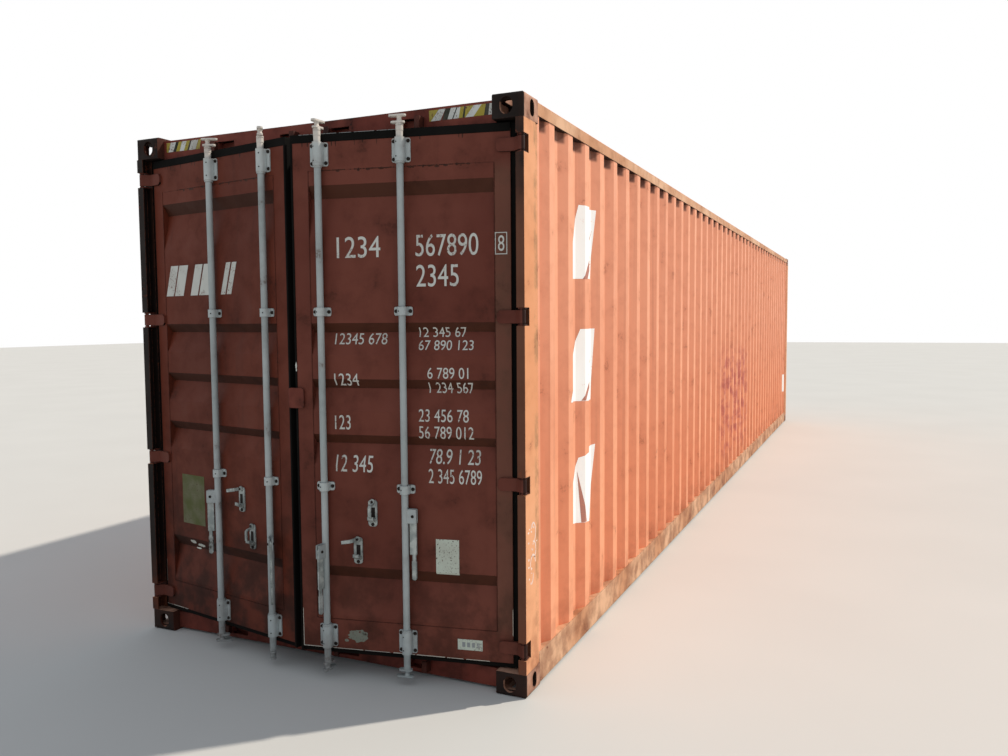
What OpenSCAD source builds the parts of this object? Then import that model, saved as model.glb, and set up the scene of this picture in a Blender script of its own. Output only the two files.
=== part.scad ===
// Steel freight container, 40 ft high cube, with a pair of side-hung doors at the rear end.
// X runs along the length with the doors at -X, +Y is the left side, Z = 0 is under the bottom castings.
// Door-end pieces are drawn as (depth in from the rear face, distance in from the side face, height).

/* [Overall] */
// Length over the corner castings
length = 12192; // [9125:1:13716]
// Width over the corner castings
width = 2438; // [2300:1:2600]
// Height over the corner castings
height = 2896; // [2591:1:2896]

/* [Corner castings] */
// Length of a casting along the container
casting_length = 178; // [170:1:190]
// Width of a casting across the container
casting_width = 162; // [155:1:170]
// Height of a casting
casting_height = 118; // [112:1:124]
// Thickness of the end and side walls of a casting
casting_wall = 16; // [12:0.5:18]
// Thickness of the plate that holds the long aperture
casting_plate = 28.5; // [24:0.5:30]
// Thickness of the walls that face into the container
casting_back = 12; // [8:0.5:12]
// Radius along the outer edges of a casting
casting_round = 14; // [6:0.5:14]
// Length of the twist lock aperture
aperture_length = 124; // [110:0.5:124]
// Width of the twist lock aperture
aperture_width = 63.5; // [55:0.5:66]
// Height of the holes in the end and side walls
wall_hole_height = 79.5; // [60:0.5:82]
// Width of the hole in the side wall
side_hole_width = 51; // [40:0.5:60]
// Width of the hole in the end wall
end_hole_width = 66; // [50:0.5:70]
// Spacing of the apertures along the container, centre to centre, below the length
aperture_inset_x = 103.5; // [100:0.5:104]
// Distance of the apertures in from the side face
aperture_inset_y = 89.5; // [80:0.5:92]

/* [Posts] */
// Plate thickness of the corner posts
post_wall = 6; // [4:0.5:8]
// Width of the rear post's closed box across the container
post_box_width = 49; // [44:1:60]
// Depth at which the closed box of a rear post starts
post_box_start = 60; // [58:1:70]
// Depth at which the closed box of a rear post ends
post_box_end = 144; // [135:1:160]
// Width of the lip on the rear face of a rear post
post_lip = 42; // [38:1:46]
// Height of the hinge notches in the rear posts
notch_height = 86; // [80:1:100]
// Depth of the hinge notches along the side face
notch_depth = 58; // [56:1:59]
// Width of a front post across the container
front_post_width = 100; // [80:1:130]
// Depth of a front post along the container
front_post_depth = 120; // [90:1:150]

/* [Rails and sills] */
// Height of the steelwork's underside above the bottom castings' face
base_clearance = 12.5; // [8:0.5:17]
// Height of the bottom side rails' top
bottom_rail_top = 170; // [150:1:190]
// Flange width of the bottom side rails
bottom_rail_flange = 48; // [35:1:60]
// Plate thickness of rails, header and sill
rail_wall = 4.5; // [3:0.5:6]
// Height and width of the top side rails
top_rail_size = 60; // [50:1:80]
// Distance of the rails in from the side face
rail_inset = 4; // [2:0.5:8]
// Distance from the castings' top down to the roof
roof_drop = 16; // [8:0.5:20]
// Depth of the front face of header and sill behind the rear face
header_face = 50; // [48:0.5:52]
// Distance from the castings' top down to the door opening
header_drop = 151; // [145:1:170]
// Depth of the stop that the doors close against
door_stop = 108; // [106:1:112]

/* [Walls, roof and floor] */
// Sheet thickness of walls and roof
sheet = 2; // [1.6:0.1:3]
// Distance of the side walls' outer flats in from the side face
wall_inset = 8; // [6:0.5:12]
// Corrugation pitch of the side walls
side_pitch = 278.5; // [250:0.5:300]
// Corrugation depth of the side walls
side_depth = 36; // [25:0.5:38]
// Length of each outer flat of the side walls
side_flat = 72; // [50:1:90]
// Length of each slope of the side walls
side_slope = 68; // [40:1:80]
// Length of the flat strip at each end of the side walls
side_strip = 33; // [20:1:40]
// Corrugation pitch of the front wall
front_pitch = 250; // [200:1:280]
// Corrugation depth of the front wall
front_depth = 45; // [30:0.5:50]
// Length of each outer flat of the front wall
front_flat = 104; // [60:1:110]
// Length of each slope of the front wall
front_slope = 21; // [15:1:40]
// Length of the flat strip at each end of the front wall
front_strip = 20; // [10:1:40]
// Pitch of the pressed troughs in the roof
roof_pitch = 209; // [180:1:260]
// Depth of the pressed troughs in the roof
trough_depth = 20; // [10:0.5:24]
// Width of the crowns between the troughs
crown_width = 70; // [40:1:90]
// Length of a trough's slope
trough_slope = 25; // [15:1:40]
// Length of the flat strip at each end of the roof
roof_strip = 40; // [20:1:60]
// Width of the flat border at the sides of the roof
roof_border = 90; // [60:1:140]
// Thickness of the floor boards
floor_board = 28; // [20:1:32]
// Height of the cross members
cross_height = 122; // [100:1:125]
// Spacing of the cross members
cross_pitch = 300; // [250:10:400]
// Length of the tunnel from the front face
tunnel_length = 3315; // [2800:5:3600]
// Clear width of the tunnel
tunnel_width = 1029; // [950:1:1070]

/* [Doors] */
// Opening of the right door at rest, in degrees
right_ajar = 11; // [0:0.5:30]
// Opening of the left door at rest, in degrees
left_ajar = 10.5; // [0:0.5:30]
// Depth and distance from the side of the hinge pins
pin_inset = 18; // [16:0.5:20]
// Radius of the hinge pins
pin_radius = 10; // [8:0.5:11]
// Radial clearance of pins and locking bars in their bearings
bearing_clearance = 0.08; // [0.02:0.01:0.1]
// Radius of the hinge knuckles
knuckle_radius = 15; // [13:0.5:15.5]
// Height of a hinge blade
blade_height = 64; // [50:1:72]
// Reach of a hinge blade from the side face
blade_reach = 150; // [120:1:170]
// Height of the lowest hinge
lowest_hinge = 232; // [220:1:260]
// Distance from the castings' top down to the highest hinge
highest_hinge_drop = 234; // [225:1:260]
// Depth of the leaf's outer face
leaf_face = 52; // [51:0.5:54]
// Thickness of the leaf's frame
leaf_depth = 50; // [40:1:52]
// Distance of the leaf's hinge edge from the side face
leaf_edge = 80; // [76:1:90]
// Gap between each leaf's steel edge and the middle of the container
leaf_gap = 14; // [12:1:20]
// Height of the leaf's lower edge
leaf_bottom = 150; // [140:1:160]
// Distance of the leaf's upper edge below the door opening's top
leaf_top_drop = 3; // [0:1:20]
// Width of the hinge stile
hinge_stile = 80; // [70:1:120]
// Width of the lock stile
lock_stile = 86; // [50:1:100]
// Height of the leaf's top and bottom members
leaf_rail = 156; // [100:1:170]
// Reach of the gasket beyond the leaf's steel at the hinge edge
gasket_side = 25; // [18:1:25]
// Reach of the gasket beyond the leaf's steel at top and bottom
gasket_end = 25; // [20:1:25]
// Reach of the gasket beyond the leaf's steel at the lock edge
gasket_lock = 8; // [4:1:8]
// Width of the gasket's lip on the leaf's outer face at the upper edge
gasket_top_lip = 16; // [8:1:17]
// Width of the gasket's lip on the leaf's outer face at the lock edge
gasket_lock_lip = 3; // [2:1:14]
// Height of the second middle step in the door panel above the leaf's middle
middle_step_rise = 99; // [60:1:140]
// Distance between the three middle steps in the door panel
step_pitch = 282; // [250:1:300]
// Distance of the highest step below the leaf's upper edge
top_step_drop = 229; // [190:1:260]
// Distance of the lowest step above the leaf's lower edge
bottom_step_rise = 434; // [400:1:480]
// Height of a middle step's steep face
step_face = 46; // [30:1:60]
// Height of the steep face of the highest and the lowest step
long_step_face = 62; // [40:1:70]
// Height over which a middle step runs back out to the outer plane
step_run = 115; // [80:1:150]
// Height over which the highest and the lowest step run back out
long_step_run = 195; // [120:1:200]
// Depth of a step
step_depth = 36; // [20:1:40]

/* [Locking gear] */
// Radius of the locking bars
bar_radius = 17; // [13:0.5:18]
// Depth of the locking bars behind the rear face
bar_depth = 27; // [26.5:0.5:28]
// Distance of the outer bars from the side face
outer_bar = 623; // [560:1:680]
// Distance of the inner bars from the side face
inner_bar = 1055; // [1000:1:1080]
// Turn of the left outer bar at rest, away from locked, in degrees
left_outer_turn = 145; // [0:1:180]
// Turn of the left inner bar at rest, in degrees
left_inner_turn = 39; // [30:1:180]
// Turn of the right inner bar at rest, in degrees
right_inner_turn = 75; // [30:1:180]
// Turn of the right outer bar at rest, in degrees
right_outer_turn = 180; // [0:1:180]
// Height of the handle pivots on the outer bars
outer_handle_height = 868; // [800:1:900]
// Height of the handle pivots on the inner bars
inner_handle_height = 672; // [620:1:720]
// Distance of a handle pivot from its bar's axis
handle_offset = 42; // [40:1:46]
// Distance of the outer catches from the outer bars
outer_catch_reach = 180; // [175:1:210]
// Distance of the inner catches from the inner bars
inner_catch_reach = 170; // [140:1:200]
// Width of a handle catch
catch_width = 48; // [44:1:60]
// Height of a handle catch
catch_height = 136; // [126:1:150]
// Turn of the right outer hasp at rest, away from hanging, in degrees
right_outer_hasp_turn = 0; // [-90:1:90]
// Turn of the right inner hasp at rest, in degrees
right_inner_hasp_turn = 80; // [-90:1:90]
// Turn of the left outer hasp at rest, in degrees
left_outer_hasp_turn = -80; // [-90:1:90]
// Turn of the left inner hasp at rest, in degrees
left_inner_hasp_turn = 0; // [-90:1:90]
// Height of the customs plate's lower edge
customs_plate_bottom = 1395; // [1200:1:1500]
// Width of the customs plate
customs_plate_width = 86; // [70:1:90]
// Height of the customs plate
customs_plate_height = 104; // [80:1:120]
// Length of a handle from its pivot
handle_length = 324; // [300:1:400]
// Width of a handle
handle_width = 40; // [30:1:40]
// Thickness of a handle
handle_thickness = 10; // [8:0.5:12]
// Radius of a handle's pivot pin
handle_pin = 6; // [5:0.5:8]
// Half width of a cam across its lobe
cam_half_width = 15; // [12:0.5:15]
// Reach of a cam's long lobe from the bar's axis
cam_reach = 54; // [50:0.5:56]
// Reach of a cam's short lobe from the bar's axis
cam_back = 34; // [24:0.5:34]
// Thickness of each of the two flanges of a cam
cam_flange = 10; // [8:0.5:12]
// Height over both flanges of a cam
cam_height = 42; // [36:1:50]
// Distance of the top cams' upper face below the castings' top
top_cam_drop = 66; // [62:1:72]
// Height of the bottom cams' lower face
bottom_cam_height = 44; // [38:1:44]

/* [Hidden] */
$fn = 48;

// Paint and metal colours
body_red = "#D98A6A";
door_red = "#6E2F26";
bar_grey = "#B9BDB6";
gasket_black = "#1C1B1A";
wood = "#A07A4C";

// Heights worked out from the driving sizes
roof_level = height - roof_drop;
door_head = height - header_drop;
top_rail_bottom = roof_level - top_rail_size;
casting_top_z = height - casting_height;
cross_lift = 9.5;
floor_bottom = base_clearance + cross_lift + cross_height;
floor_top = floor_bottom + floor_board;
leaf_top = door_head - leaf_top_drop;
leaf_lock_edge = width / 2 - leaf_gap;
hinge_pitch = (height - highest_hinge_drop - lowest_hinge) / 3;
hinge_heights = [for (i = [0 : 3]) lowest_hinge + i * hinge_pitch];
running_gap = 5;
cut = 1;

// Small shapes

// A slot with round ends along X, centred on its middle
module slot(slot_length, slot_width, slot_height) {
    straight = slot_length - slot_width;
    translate([-straight / 2, -slot_width / 2, 0]) cube([straight, slot_width, slot_height]);
    for (side = [-1, 1])
        translate([side * straight / 2, 0, 0]) cylinder(d = slot_width, h = slot_height);
}

// A plate in the door's plane with round corners: size along the door and up, thickness along depth
module rounded_plate(along, up, thick, radius) {
    rotate([90, 0, 90]) linear_extrude(thick) {
        translate([radius, 0]) square([along - 2 * radius, up]);
        translate([0, radius]) square([along, up - 2 * radius]);
        for (y = [radius, along - radius])
            for (z = [radius, up - radius])
                translate([y, z]) circle(radius);
    }
}

// Places: one corner, the rear end seen from the right or the left, the front end

module at_corner(front, left, top) {
    translate([(front - 0.5) * length, (left - 0.5) * width, top * height])
        mirror([front, 0, 0]) mirror([0, left, 0]) mirror([0, 0, top]) children();
}

module at_rear(left) {
    mirror([0, left, 0]) translate([-length / 2, -width / 2, 0]) children();
}

module at_front(left) {
    mirror([1, 0, 0]) at_rear(left) children();
}

module door_leaf(left) {
    at_rear(left)
        translate([pin_inset, pin_inset, 0])
            rotate([0, 0, left ? left_ajar : right_ajar])
                translate([-pin_inset, -pin_inset, 0]) children();
}

// Corner castings: hollow blocks with an aperture in the top or bottom plate and two wall holes

module rounded_corner(along, across, radius) {
    union() {
        translate([radius, 0]) square([along - radius, across]);
        translate([0, radius]) square([along, across - radius]);
        translate([radius, radius]) circle(radius);
    }
}

module corner_casting() {
    inside = [casting_length - casting_wall - casting_back, casting_width - casting_wall - casting_back,
        casting_height - casting_plate - casting_back];
    difference() {
        intersection() {
            linear_extrude(casting_height) rounded_corner(casting_length, casting_width, casting_round);
            translate([0, casting_width, 0]) rotate([90, 0, 0]) linear_extrude(casting_width)
                rounded_corner(casting_length, casting_height, casting_round);
            rotate([90, 0, 90]) linear_extrude(casting_length)
                rounded_corner(casting_width, casting_height, casting_round);
        }
        translate([casting_wall, casting_wall, casting_plate]) cube(inside);
        translate([aperture_inset_x, aperture_inset_y, -cut])
            slot(aperture_length, aperture_width, casting_plate + 2 * cut);
        translate([aperture_inset_x, -cut, casting_height / 2]) rotate([0, 90, 90])
            slot(wall_hole_height, side_hole_width, casting_wall + 2 * cut);
        translate([-cut, aperture_inset_y, casting_height / 2]) rotate([0, 90, 0])
            slot(wall_hole_height, end_hole_width, casting_wall + 2 * cut);
    }
}

module corner_castings(top) {
    color(body_red)
        for (front = [0, 1])
            for (left = [0, 1])
                at_corner(front, left, top) corner_casting();
}

module top_corner_castings() { corner_castings(1); }
module bottom_corner_castings() { corner_castings(0); }

// Rear post: outer plate with a lip on the rear face, a closed box behind it, and hinge notches

module rear_post(left) {
    post_height = casting_top_z - casting_height;
    tail = casting_length - post_box_end;
    color(body_red) at_rear(left) difference() {
        translate([0, 0, casting_height]) linear_extrude(post_height) {
            square([post_box_start, post_wall]);
            square([post_wall, post_lip]);
            difference() {
                translate([post_box_start, 0]) square([post_box_end - post_box_start, post_box_width]);
                translate([post_box_start + post_wall, post_wall])
                    square([post_box_end - post_box_start - 2 * post_wall, post_box_width - 2 * post_wall]);
            }
            translate([post_box_end, wall_inset - post_wall / 2]) square([tail, post_wall]);
        }
        for (z = hinge_heights)
            translate([-cut, -cut, z - notch_height / 2])
                cube([notch_depth + cut, post_lip + 2 * cut, notch_height]);
    }
}

module rear_right_post() { rear_post(0); }
module rear_left_post() { rear_post(1); }

// Hinge pins with the two lugs that hold each of them in its notch

module hinge_pins() {
    lug = 7;
    color(door_red)
        for (left = [0, 1])
            at_rear(left)
                for (z = hinge_heights) {
                    translate([pin_inset, pin_inset, z - notch_height / 2])
                        cylinder(r = pin_radius, h = notch_height);
                    for (end = [-1, 1])
                        translate([0, 0, z + end * (notch_height - lug) / 2 - lug / 2])
                            linear_extrude(lug) {
                                translate([pin_inset, pin_inset]) circle(knuckle_radius);
                                translate([pin_inset, post_wall])
                                    square([post_box_start - pin_inset, post_lip - post_wall]);
                            }
                }
}

// Front posts: closed boxes with tails that meet the side wall and the front wall

module front_post(left) {
    post_height = casting_top_z - casting_height;
    color(body_red) at_front(left)
        translate([0, 0, casting_height]) linear_extrude(post_height) {
            difference() {
                square([front_post_depth, front_post_width]);
                translate([post_wall, post_wall])
                    square([front_post_depth - 2 * post_wall, front_post_width - 2 * post_wall]);
            }
            translate([front_post_depth, wall_inset - post_wall / 2])
                square([casting_length - front_post_depth, post_wall]);
            translate([wall_inset - post_wall / 2, front_post_width])
                square([post_wall, casting_width - front_post_width]);
        }
}

module front_right_post() { front_post(0); }
module front_left_post() { front_post(1); }

// Door header and sill: hollow beams between the castings, with pockets for the cams

pocket_side = 3;
pocket_depth = 40;
pocket_end = 9;
header_strip = 27;
sill_drop = 10;
pocket_half = cam_reach + pocket_side;
pocket_height = cam_height + 2 * pocket_end;
top_pocket = height - top_cam_drop - cam_height - pocket_end;
bottom_pocket = bottom_cam_height - pocket_end;
header_bottom = door_head + header_strip;
sill_step = casting_height - sill_drop;
bar_places = [outer_bar, inner_bar];
beam = [casting_length - header_face, width - 2 * casting_width];

// The room for the cams when grow is 0, the box round it when grow is the plate thickness
module cam_pockets(z, grow) {
    for (left = [0, 1])
        at_rear(left)
            for (u = bar_places)
                translate([header_face + grow - cut, u - pocket_half - grow, z - grow])
                    cube([pocket_depth + cut, 2 * (pocket_half + grow), pocket_height + 2 * grow]);
}

module rear_beam(bottom, top, pocket) {
    difference() {
        union() {
            translate([-length / 2 + header_face, -beam[1] / 2, bottom]) difference() {
                cube([beam[0], beam[1], top - bottom]);
                translate([rail_wall, -cut, rail_wall])
                    cube([beam[0] - 2 * rail_wall, beam[1] + 2 * cut, top - bottom - 2 * rail_wall]);
            }
            cam_pockets(pocket, rail_wall);
        }
        cam_pockets(pocket, 0);
    }
}

module door_header() {
    color(door_red) {
        rear_beam(header_bottom, roof_level, top_pocket);
        translate([-length / 2 + door_stop, -width / 2 + post_box_width, door_head])
            cube([rail_wall, width - 2 * post_box_width, header_bottom - door_head]);
    }
}

module door_sill() {
    color(door_red) {
        rear_beam(base_clearance, sill_step, bottom_pocket);
        translate([-length / 2 + door_stop, -beam[1] / 2, sill_step])
            cube([casting_length - door_stop, beam[1], casting_height - sill_step]);
        translate([-length / 2 + door_stop, -width / 2 + post_box_width, casting_height])
            cube([casting_length - door_stop, width - 2 * post_box_width, floor_top - casting_height]);
    }
}

// Cam keepers: a side plate and a lip beside each pocket, that the long lobe of the cam turns behind

module keeper(side) {
    plate = 8;
    lip = 6;
    sweep_gap = 6;
    lip_start = cam_back + sweep_gap;
    lip_end = cam_reach + sweep_gap;
    mirror([0, side, 0]) {
        translate([1, lip_end, 0]) cube([header_face - 1, plate, pocket_height]);
        translate([1, lip_start, 0]) cube([lip, lip_end - lip_start + cut, pocket_height]);
    }
}

module cam_keepers() {
    color(door_red)
        for (left = [0, 1])
            at_rear(left)
                for (z = [bottom_pocket, top_pocket]) {
                    translate([0, outer_bar, z]) keeper(1);
                    translate([0, inner_bar, z]) keeper(0);
                }
}

// Rails

module top_side_rail(left) {
    run = length - 2 * casting_length;
    color(body_red) at_rear(left)
        translate([casting_length, rail_inset, top_rail_bottom]) difference() {
            cube([run, top_rail_size, top_rail_size]);
            translate([-cut, rail_wall, rail_wall])
                cube([run + 2 * cut, top_rail_size - 2 * rail_wall, top_rail_size - 2 * rail_wall]);
        }
}

module right_top_rail() { top_side_rail(0); }
module left_top_rail() { top_side_rail(1); }

module bottom_side_rail(left) {
    run = length - 2 * casting_length;
    rail_height = bottom_rail_top - base_clearance;
    color(body_red) at_rear(left)
        translate([casting_length, rail_inset, base_clearance]) difference() {
            cube([run, bottom_rail_flange, rail_height]);
            translate([-cut, rail_wall, rail_wall])
                cube([run + 2 * cut, bottom_rail_flange, rail_height - 2 * rail_wall]);
        }
}

module right_bottom_rail() { bottom_side_rail(0); }
module left_bottom_rail() { bottom_side_rail(1); }

module front_top_rail() {
    color(body_red) translate([length / 2 - casting_length, -beam[1] / 2, 0]) {
        translate([casting_length - rail_inset - top_rail_size, 0, top_rail_bottom]) difference() {
            cube([top_rail_size, beam[1], top_rail_size]);
            translate([rail_wall, -cut, rail_wall])
                cube([top_rail_size - 2 * rail_wall, beam[1] + 2 * cut, top_rail_size - 2 * rail_wall]);
        }
        translate([0, 0, roof_level - rail_wall])
            cube([casting_length - rail_inset - rail_wall, beam[1], rail_wall]);
    }
}

module front_bottom_rail() {
    color(body_red) translate([length / 2 - casting_length, -beam[1] / 2, base_clearance]) difference() {
        cube([casting_length - rail_inset, beam[1], bottom_rail_top - base_clearance]);
        translate([rail_wall, -cut, rail_wall])
            cube([casting_length - rail_inset - 2 * rail_wall, beam[1] + 2 * cut,
                bottom_rail_top - base_clearance - 2 * rail_wall]);
        translate([-cut, (beam[1] - tunnel_width) / 2, -cut])
            cube([casting_length + 2 * cut, tunnel_width, floor_bottom - base_clearance + cut]);
    }
}

// Corrugated sheets: as many trapezoid waves as fit, between two flat strips, drawn as a line of points

function waves(run, pitch, flat, slope, depth, strip) =
    let (count = floor((run - 2 * strip - 3 * slope - flat) / pitch) + 1,
        start = (run - (count - 1) * pitch - flat) / 2)
    concat([[0, 0], [strip, 0], [strip + slope / 2, depth], [start - slope, depth]],
        [for (i = [0 : count - 1])
            for (p = [[0, 0], [flat, 0], [flat + slope, depth], [pitch - slope, depth]])
                if (i < count - 1 || p[1] == 0) [start + i * pitch + p[0], p[1]]],
        [[run - start + slope, depth], [run - strip - slope / 2, depth], [run - strip, 0], [run, 0]]);

// The same line given a thickness, as a closed outline
function thick_line(points, by) = concat(points, [for (i = [len(points) - 1 : -1 : 0]) points[i] + by]);

module side_wall(left) {
    run = length - 2 * casting_length;
    color(body_red) at_rear(left) translate([casting_length, wall_inset, bottom_rail_top])
        linear_extrude(top_rail_bottom - bottom_rail_top)
            polygon(thick_line(waves(run, side_pitch, side_flat, side_slope, side_depth, side_strip),
                [0, sheet]));
}

module right_side_wall() { side_wall(0); }
module left_side_wall() { side_wall(1); }

module front_wall() {
    color(body_red) translate([length / 2 - wall_inset, -beam[1] / 2, bottom_rail_top])
        rotate([0, 0, 90]) linear_extrude(top_rail_bottom - bottom_rail_top)
            polygon(thick_line(waves(beam[1], front_pitch, front_flat, front_slope, front_depth, front_strip),
                [0, sheet]));
}

// Roof: sheets with pressed cross troughs inside a flat border

module roof() {
    run = length - 2 * casting_length;
    across = width - 2 * rail_inset;
    pressed = across - 2 * roof_border;
    color(body_red) translate([-run / 2, 0, roof_level]) {
        translate([0, pressed / 2, 0]) rotate([90, 0, 0]) linear_extrude(pressed)
            polygon(thick_line([for (p = waves(run, roof_pitch, crown_width, trough_slope, trough_depth,
                roof_strip)) [p[0], -p[1]]], [0, sheet]));
        for (side = [-1, 1]) {
            translate([0, side > 0 ? pressed / 2 : -across / 2, 0]) cube([run, roof_border, sheet]);
            translate([0, side * pressed / 2 - sheet / 2, -trough_depth])
                cube([run, sheet, trough_depth + sheet]);
        }
    }
}

// Floor boards, cross members and the tunnel under the front end

floor_start = -length / 2 + casting_length;
floor_run = length - 2 * casting_length;
floor_gap = 2;
floor_across = width - 2 * (rail_inset + bottom_rail_flange + floor_gap);
cross_flange = 45;

module floor_boards() {
    columns = 2;
    rows = 10;
    joint = 3;
    board = [floor_run / rows, floor_across / columns];
    color(wood)
        for (row = [0 : rows - 1])
            for (column = [0 : columns - 1])
                translate([floor_start + row * board[0] + joint / 2,
                    -floor_across / 2 + column * board[1] + joint / 2, floor_bottom])
                    cube([board[0] - joint, board[1] - joint, floor_board]);
}

module cross_member(member_length) {
    rotate([90, 0, 0]) translate([0, 0, -member_length / 2]) linear_extrude(member_length)
        difference() {
            square([cross_flange, cross_height]);
            translate([rail_wall, rail_wall]) square([cross_flange, cross_height - 2 * rail_wall]);
        }
}

module cross_members() {
    across = width - 2 * (rail_inset + rail_wall);
    beside = (across - tunnel_width) / 2 - rail_wall;
    count = floor(floor_run / cross_pitch) - 1;
    start = floor_start + (floor_run - (count - 1) * cross_pitch) / 2;
    tunnel_start = length / 2 - tunnel_length;
    color(body_red)
        for (i = [0 : count - 1]) {
            x = start + i * cross_pitch;
            translate([x, 0, floor_bottom - cross_height])
                if (x + cross_flange < tunnel_start) {
                    cross_member(across);
                } else {
                    for (side = [-1, 1])
                        translate([0, side * (across - beside) / 2, 0]) cross_member(beside);
                }
        }
}

module gooseneck_tunnel() {
    tunnel_height = floor_bottom - base_clearance;
    run = tunnel_length - casting_length;
    color(body_red) translate([length / 2 - tunnel_length, -tunnel_width / 2 - rail_wall, base_clearance])
        difference() {
            cube([run, tunnel_width + 2 * rail_wall, tunnel_height]);
            translate([rail_wall, rail_wall, -cut])
                cube([run, tunnel_width, tunnel_height - rail_wall + cut]);
        }
}

// Door leaves

module leaf_frame(left) {
    leaf_width = leaf_lock_edge - leaf_edge;
    leaf_height = leaf_top - leaf_bottom;
    color(door_red) door_leaf(left) translate([leaf_face, leaf_edge, leaf_bottom]) difference() {
        cube([leaf_depth, leaf_width, leaf_height]);
        translate([-cut, hinge_stile, leaf_rail])
            cube([leaf_depth + 2 * cut, leaf_width - hinge_stile - lock_stile, leaf_height - 2 * leaf_rail]);
    }
}

module right_door_frame() { leaf_frame(0); }
module left_door_frame() { leaf_frame(1); }

// Pressed panel: each step drops in steeply and runs back out over a long slope

module leaf_panel(left) {
    low = leaf_bottom + leaf_rail;
    high = leaf_top - leaf_rail;
    middle = (leaf_top + leaf_bottom) / 2 + middle_step_rise;
    steps = concat([[leaf_bottom + bottom_step_rise, long_step_face, long_step_run]],
        [for (i = [-1 : 1]) [middle + i * step_pitch, step_face, step_run]],
        [[leaf_top - top_step_drop, long_step_face, long_step_run]]);
    section = concat([[0, low]],
        [for (step = steps) for (p = [[0, -step[1] - step[2]], [step_depth, -step[1]], [0, 0]])
            [p[0], step[0] + p[1]]],
        [[0, high]]);
    color(door_red) door_leaf(left)
        translate([leaf_face, leaf_lock_edge - lock_stile, 0]) rotate([90, 0, 0])
            linear_extrude(leaf_lock_edge - lock_stile - leaf_edge - hinge_stile)
                polygon(thick_line(section, [sheet, 0]));
}

module right_door_panel() { leaf_panel(0); }
module left_door_panel() { leaf_panel(1); }

// Rubber gasket round the leaf's edge, with a lip on the outer face along the top and the lock edge

module leaf_gasket(left) {
    leaf_width = leaf_lock_edge - leaf_edge;
    leaf_height = leaf_top - leaf_bottom;
    back = 10;
    lip = 2;
    color(gasket_black) door_leaf(left) translate([leaf_face, leaf_edge, leaf_bottom]) {
        difference() {
            translate([back, -gasket_side, -gasket_end])
                cube([leaf_depth - back, leaf_width + gasket_side + gasket_lock,
                    leaf_height + 2 * gasket_end]);
            translate([back - cut, 0, 0]) cube([leaf_depth, leaf_width, leaf_height]);
        }
        translate([-lip, 0, leaf_height - gasket_top_lip])
            cube([lip, leaf_width + gasket_lock, gasket_top_lip + gasket_end]);
        translate([-lip, leaf_width - gasket_lock_lip, -gasket_end])
            cube([lip, gasket_lock_lip + gasket_lock, leaf_height + gasket_end]);
        translate([0, 0, leaf_height]) cube([back, leaf_width + gasket_lock, gasket_end]);
        translate([0, leaf_width, -gasket_end]) cube([back, gasket_lock, leaf_height + gasket_end]);
    }
}

module right_door_gasket() { leaf_gasket(0); }
module left_door_gasket() { leaf_gasket(1); }

// Hinge blades: a knuckle on the pin and an arm that runs to a plate on the leaf

module hinge_blades(left) {
    thick = 12;
    corner = 22;
    bend = 40;
    cheek = 0.7 * knuckle_radius;
    front = leaf_face - thick;
    color(door_red) door_leaf(left)
        for (z = hinge_heights)
            translate([0, 0, z - blade_height / 2]) difference() {
                union() {
                    linear_extrude(blade_height) {
                        translate([pin_inset, pin_inset]) circle(knuckle_radius);
                        polygon([[pin_inset + cheek, pin_inset - cheek],
                            [pin_inset - cheek, pin_inset + cheek],
                            [front, pin_inset + bend], [front, blade_reach - corner],
                            [leaf_face, blade_reach - corner], [leaf_face, pin_inset + bend - thick]]);
                    }
                    translate([front, blade_reach - 2 * corner, 0])
                        rounded_plate(2 * corner, blade_height, thick, corner);
                }
                translate([pin_inset, pin_inset, -cut])
                    cylinder(r = pin_radius + bearing_clearance, h = blade_height + 2 * cut);
            }
}

module right_hinge_blades() { hinge_blades(0); }
module left_hinge_blades() { hinge_blades(1); }

// Brackets that hold the locking bars: tall ones near the ends and low guides between them

module bar_bracket(tall, clearance) {
    plate_width = 96;
    plate = 6;
    shell_radius = bar_radius + 7;
    corner = 10;
    bore = bar_radius + clearance;
    difference() {
        union() {
            translate([leaf_face - plate, -plate_width / 2, 0])
                rounded_plate(plate_width, tall, plate, corner);
            translate([bar_depth, 0, 0]) cylinder(r = shell_radius, h = tall);
            translate([bar_depth, -shell_radius, 0])
                cube([leaf_face - bar_depth, 2 * shell_radius, tall]);
        }
        translate([bar_depth, 0, -cut]) cylinder(r = bore, h = tall + 2 * cut);
    }
}

bracket_height = 117;
top_bracket_inset = gasket_top_lip + 4;
bottom_bracket_inset = 12;
bush_height = 8;
bush_radius = bar_radius + 5;
guide_height = 44;
guide_clearance = 1;
guide_shares = [0.3275, 0.669];
low_bracket = leaf_bottom + bottom_bracket_inset;
high_bracket = leaf_top - top_bracket_inset - bracket_height;
guide_places = [for (share = guide_shares) leaf_bottom + share * (leaf_top - leaf_bottom) - guide_height / 2];

// The end of a bracket's bush, which shows as a ring on its inner side
module bush(z) {
    translate([bar_depth, 0, z]) difference() {
        cylinder(r = bush_radius, h = bush_height);
        translate([0, 0, -cut]) cylinder(r = bar_radius + bearing_clearance, h = bush_height + 2 * cut);
    }
}

module bar_brackets(left) {
    color(bar_grey) door_leaf(left)
        for (u = bar_places)
            translate([0, u, 0]) {
                for (z = [low_bracket, high_bracket])
                    translate([0, 0, z]) bar_bracket(bracket_height, bearing_clearance);
                bush(low_bracket + bracket_height);
                bush(high_bracket - bush_height);
                for (z = guide_places) translate([0, 0, z]) bar_bracket(guide_height, guide_clearance);
            }
}

module right_bar_brackets() { bar_brackets(0); }
module left_bar_brackets() { bar_brackets(1); }

// Handle catches: a plate with a wedge that the handle rests on, and a rivet for the hasp

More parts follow.
